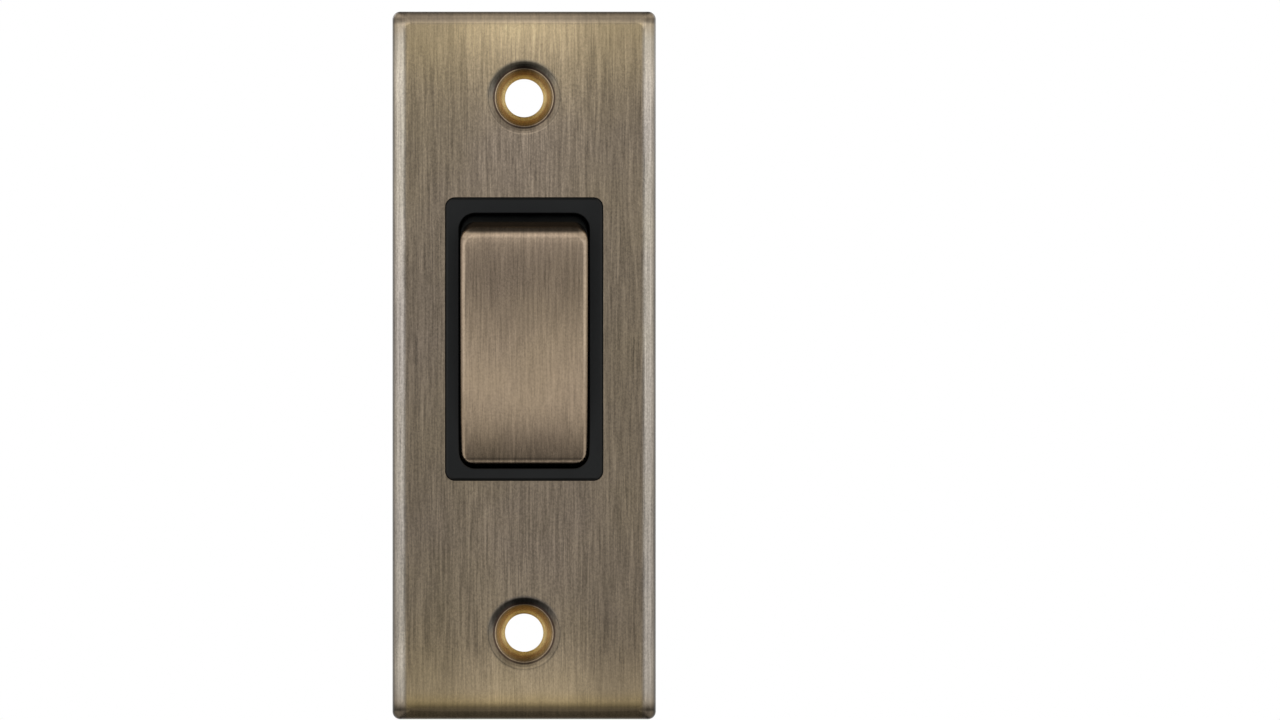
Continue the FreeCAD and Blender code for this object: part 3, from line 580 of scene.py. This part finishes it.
# Head height, shank radius, pitch, head radius and slot width of each kind of screw
clamp = (1.8, 1.72, 0.6, 2.45, 0.9)
earth = (1.6, 1.45, 0.5, 2.2, 0.8)
module = (1.3, 1.0, 0.4, 1.9, 0.7)
housing = (1.2, 1.0, 0.4, 1.5, 0.6)
for name in ("l2", "com", "l1"):
    screw("terminal_screw_" + name, "clamp_screw_" + name, *clamp)
screw("earth_terminal_screw", "earth_screw", *earth)
for name in ("upper", "lower"):
    screw("module_screw_" + name, "switch_body", *module)
for name in ("top", "left", "right"):
    screw("housing_screw_" + name, "switch_body", *housing)

# Raised generic marks of the terminals on the back of the base, readable from behind
mark_low, mark_high, mark_size = 14.40, 14.56, 2.6
for text, x, z in (("L2", -5.7, 12.4), ("COM", 5.7, 12.4), ("L1", 0, -6.4)):
    curve = bpy.data.curves.new("mark", "FONT")
    curve.body, curve.size = text, mark_size
    curve.align_x, curve.align_y = "CENTER", "CENTER"
    curve.extrude = (mark_high - mark_low) / 2
    written = bpy.data.objects.new("mark", curve)
    bpy.context.scene.collection.objects.link(written)
    graph = bpy.context.evaluated_depsgraph_get()
    made = bpy.data.meshes.new_from_object(written.evaluated_get(graph))
    bpy.data.objects.remove(written)
    y = (mark_low + mark_high) / 2
    points = [Vector((x - v.co.x, y + v.co.z, z + v.co.y)) * MM for v in made.vertices]
    faces = [tuple(face.vertices) for face in made.polygons]
    piece("mark_" + text.lower(), points, faces, looks["white_moulding"], "switch_body", "white_moulding")


def card(name, points, faces):
    """Backdrop mesh that isn't part of the object."""
    mesh = bpy.data.meshes.new(name)
    mesh.from_pydata(points, [], faces)
    obj = bpy.data.objects.new(name, mesh)
    bpy.context.scene.collection.objects.link(obj)
    return obj


# Floor in metres: half its width, its height, and the radii between which it fades out
floor_half, floor_z = 0.62, -0.09
solid_r, gone_r = 0.16, 0.6


def floor_material():
    """Pale cloth that fades out with distance and that a view from below looks through."""
    s = Shade("pale_floor")
    cloth = s.tree.nodes.new("ShaderNodeBsdfDiffuse")
    cloth.inputs["Color"].default_value = (0.86, 0.86, 0.86, 1)
    clear = s.tree.nodes.new("ShaderNodeBsdfTransparent")
    blend = s.tree.nodes.new("ShaderNodeMixShader")
    x, y = s.axis(0), s.axis(1)
    radius = s.math("SQRT", s.math("ADD", s.product(x, x), s.product(y, y)))
    below = s.tree.nodes.new("ShaderNodeNewGeometry").outputs["Backfacing"]
    faded = s.ranged(radius, solid_r, gone_r, 0.0, 1.0, True)
    s.put(blend.inputs[0], s.math("MAXIMUM", faded, below))
    s.tree.links.new(cloth.outputs[0], blend.inputs[1])
    s.tree.links.new(clear.outputs[0], blend.inputs[2])
    s.tree.links.new(blend.outputs[0], s.out.inputs["Surface"])
    return s.mat


signs = ((-1, -1), (1, -1), (1, 1), (-1, 1))
floor_corners = [(sx * floor_half, sy * floor_half, floor_z) for sx, sy in signs]
floor = card("pale_floor", floor_corners, [(0, 1, 2, 3)])
floor.data.materials.append(floor_material())
floor.visible_glossy = False
floor.visible_shadow = False


def sweep(name, radius, half, levels):
    """Round backdrop about the X axis that only reflections see, with a grey level by height angle."""
    steps = 120
    brightest = 1.2
    points, faces = [], []
    for k in range(steps):
        a, j = 2 * math.pi * k / steps, (k + 1) % steps
        points += [(x, -radius * math.cos(a), radius * math.sin(a)) for x in (-half, half)]
        faces.append((2 * k, 2 * k + 1, 2 * j + 1, 2 * j))
    obj = card(name, points, faces)
    s = Shade(name)
    angle = s.math("ARCTAN2", s.axis(2), s.product(s.axis(1), -1.0))
    ramp = s.tree.nodes.new("ShaderNodeValToRGB")
    s.put(ramp.inputs[0], s.math("ADD", s.math("DIVIDE", angle, 2 * math.pi), 0.5))
    stops = ramp.color_ramp.elements
    while len(stops) < len(levels):
        stops.new(0.5)
    for stop, (degrees, level) in zip(stops, levels):
        stop.position = (degrees + 180) / 360
    for stop, (degrees, level) in zip(stops, levels):
        grey = level / brightest
        stop.color = (grey, grey, grey, 1)
    middle = s.ranged(s.math("ABSOLUTE", s.axis(0)), half * 0.5, half * 0.95, 1.0, 0.0, True)
    glow = s.tree.nodes.new("ShaderNodeEmission")
    s.put(glow.inputs["Strength"], s.fading(middle, s.product(ramp.outputs[0], brightest)))
    s.tree.links.new(glow.outputs[0], s.out.inputs["Surface"])
    obj.data.materials.append(s.mat)
    obj.visible_camera = False
    obj.visible_diffuse = False
    obj.visible_shadow = False
    obj.visible_transmission = False


# Height angle in degrees in front of the plate, and the grey level there
sweep("grey_sweep", 1.2, 0.6, (
    (-180, 0.7), (-143, 0.8), (-115, 0.25), (-90, 0.14), (-56, 0.16), (-43, 0.17),
    (-41.6, 0.19), (-38.2, 0.38), (-35.7, 0.66), (-32.1, 0.87), (-28.2, 1.0), (-24.8, 0.98),
    (-20.9, 0.88), (-16, 0.76), (-11, 0.65), (-6.2, 0.5), (-1.3, 0.39), (2.1, 0.35),
    (6.1, 0.33), (9.4, 0.44), (10.5, 0.52), (13, 0.75), (20, 1.15), (35, 1.0),
    (65, 0.5), (91, 0.3), (114, 0.2), (136, 0.15), (150, 0.5), (180, 0.7)))


cool_white = (0.92, 1.0, 1.12)


def lamp(name, place, width, height, radiance):
    """Rectangular lamp that faces the object."""
    data = bpy.data.lights.new(name, "AREA")
    data.shape = "RECTANGLE"
    data.size, data.size_y = width, height
    data.energy = radiance * math.pi * width * height
    data.color = cool_white
    obj = bpy.data.objects.new(name, data)
    bpy.context.scene.collection.objects.link(obj)
    obj.location = place
    obj.rotation_euler = (-Vector(place)).to_track_quat("-Z", "Y").to_euler()
    obj.visible_camera = False


lamp("left_side", (-0.47, -0.47, 0.05), 0.86, 0.6, 0.5)
lamp("right_side", (0.47, -0.47, 0.05), 0.86, 0.6, 0.5)
lamp("back_left", (-0.45, 0.5, 0.35), 0.4, 0.4, 1.2)
lamp("back_right", (0.5, 0.4, 0.25), 0.4, 0.4, 0.8)

# World: white where the camera, a reflection or glass sees it, and softer as light
world = bpy.data.worlds.new("studio")
bpy.context.scene.world = world
world.use_nodes = True
tree = world.node_tree
tree.nodes.clear()
path = tree.nodes.new("ShaderNodeLightPath")
seen = path.outputs["Is Camera Ray"]
for ray in ("Is Glossy Ray", "Is Transmission Ray"):
    either = tree.nodes.new("ShaderNodeMath")
    either.operation = "MAXIMUM"
    tree.links.new(seen, either.inputs[0])
    tree.links.new(path.outputs[ray], either.inputs[1])
    seen = either.outputs[0]
both = tree.nodes.new("ShaderNodeMixShader")
tree.links.new(seen, both.inputs[0])
for socket, strength in ((both.inputs[1], 0.6), (both.inputs[2], 1.0)):
    white = tree.nodes.new("ShaderNodeBackground")
    white.inputs["Color"].default_value = (1, 1, 1, 1)
    white.inputs["Strength"].default_value = strength
    tree.links.new(white.outputs[0], socket)
tree.links.new(both.outputs[0], tree.nodes.new("ShaderNodeOutputWorld").inputs["Surface"])

# Camera straight in front of the plate; the shift sets the plate left of the middle as in the photo
distance, seen_width, sensor = 650.0, 155.21, 36.0
shift, eye_height = 0.0905, 0.66
camera = bpy.data.cameras.new("camera")
camera.sensor_width = sensor
camera.lens = sensor * distance / seen_width
camera.clip_start, camera.clip_end = 0.01, 20.0
camera.shift_x = shift
eye = bpy.data.objects.new("camera", camera)
bpy.context.scene.collection.objects.link(eye)
eye.location = (0, (plate_front - distance) * MM, eye_height * MM)
eye.rotation_euler = (math.radians(90), 0, 0)
bpy.context.scene.camera = eye
bpy.context.scene.view_settings.view_transform = "Standard"
